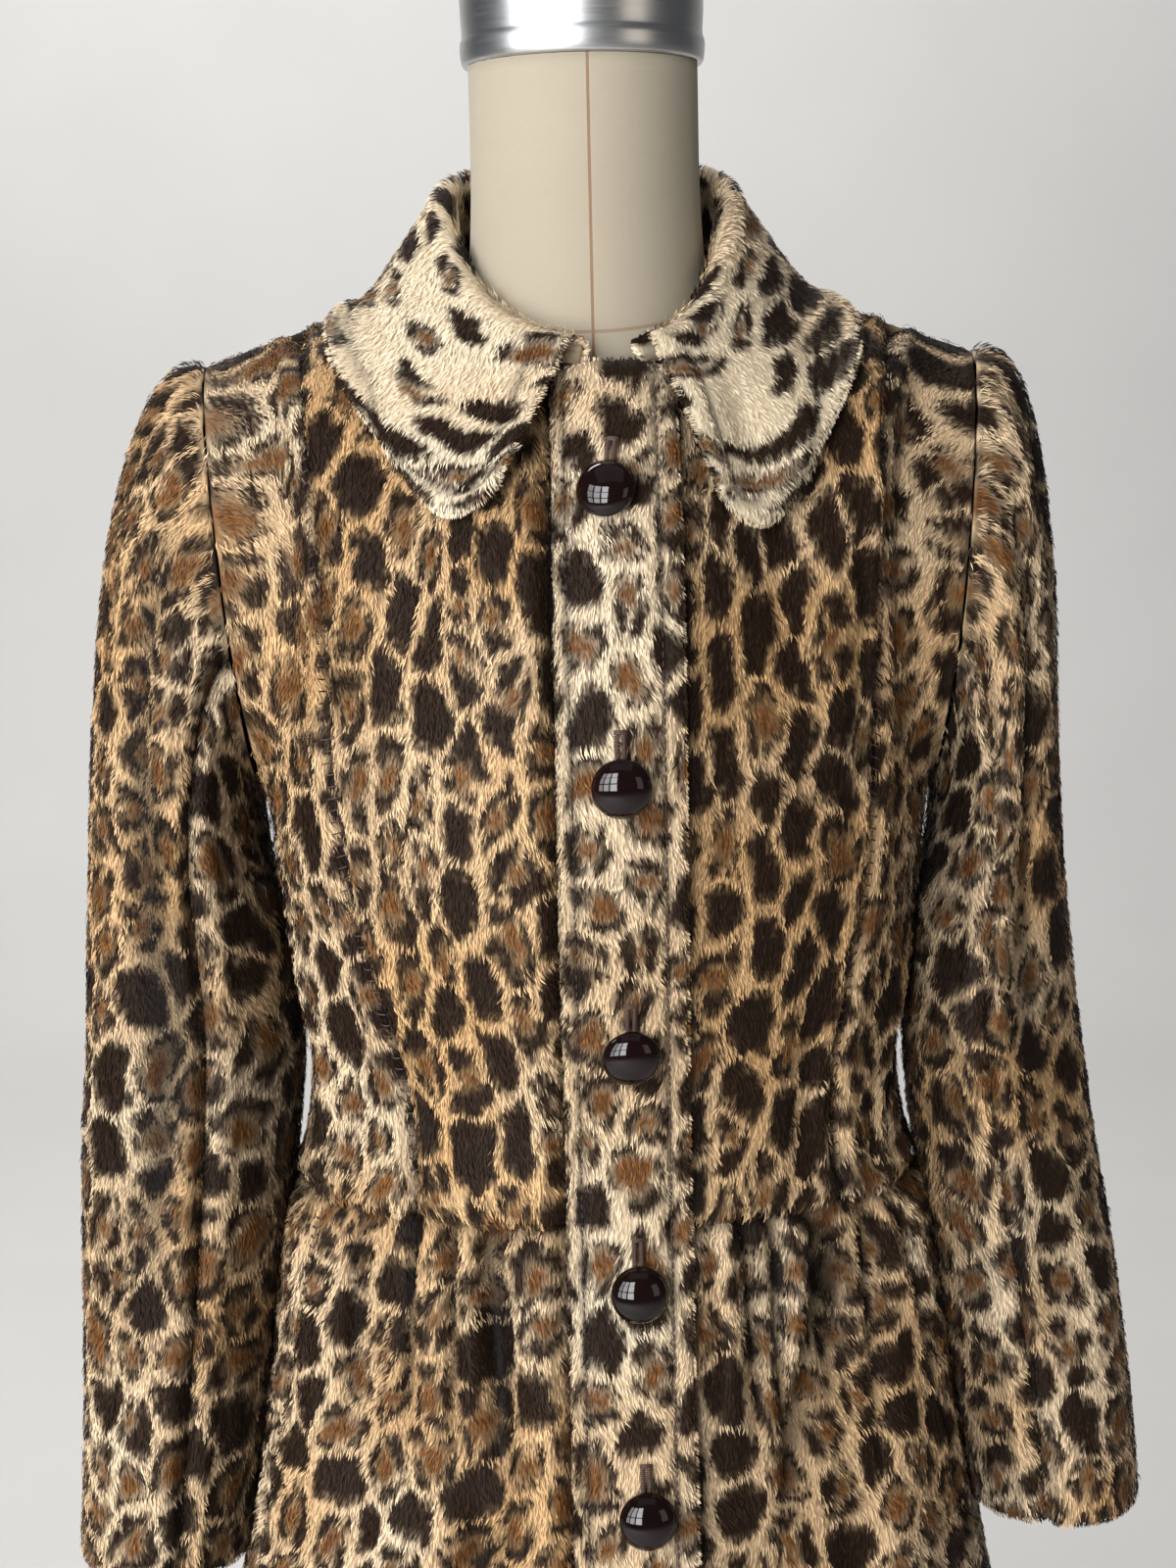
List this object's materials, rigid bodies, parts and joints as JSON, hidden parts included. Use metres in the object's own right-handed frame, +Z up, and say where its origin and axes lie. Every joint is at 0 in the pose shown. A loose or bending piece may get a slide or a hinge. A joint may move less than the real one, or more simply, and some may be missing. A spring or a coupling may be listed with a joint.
{
  "type": "faux fur coat on a dress form",
  "caption": "Fit-and-flare leopard-print faux fur coat with a round-tipped collar and domed buttons, closed on a limbless linen dress form with a stand.",
  "frame": {"origin": "on the floor, at the middle of the stand's underside", "axes": "+Z up along the pole, -Y to the coat's front, +X to the wearer's left"},
  "size_m": [0.5435, 0.4316, 1.6273],
  "materials": {
    "fur": "short pile with a leopard print",
    "band_fur": "short pile with a leopard print, paler",
    "button": "polished",
    "linen": "plain weave",
    "metal": "brushed",
    "stand": "satin black"
  },
  "bodies": {
    "root": {"front_right": "fur", "front_left": "fur", "side_front_right": "fur", "side_front_left": "fur", "back_bodice": "fur", "skirt_front_right": "fur", "skirt_front_left": "fur", "skirt_back": "fur", "upper_sleeve_right": "fur", "upper_sleeve_left": "fur", "under_sleeve_right": "fur", "under_sleeve_left": "fur", "collar": "fur", "button_band": "band_fur", "button_1": "button", "button_2": "button", "button_3": "button", "button_4": "button", "button_5": "button", "button_6": "button", "button_7": "button", "form_torso": "linen", "form_neck_cap": "metal", "form_pole": "stand", "form_base": "stand"}
  },
  "joints": []
}
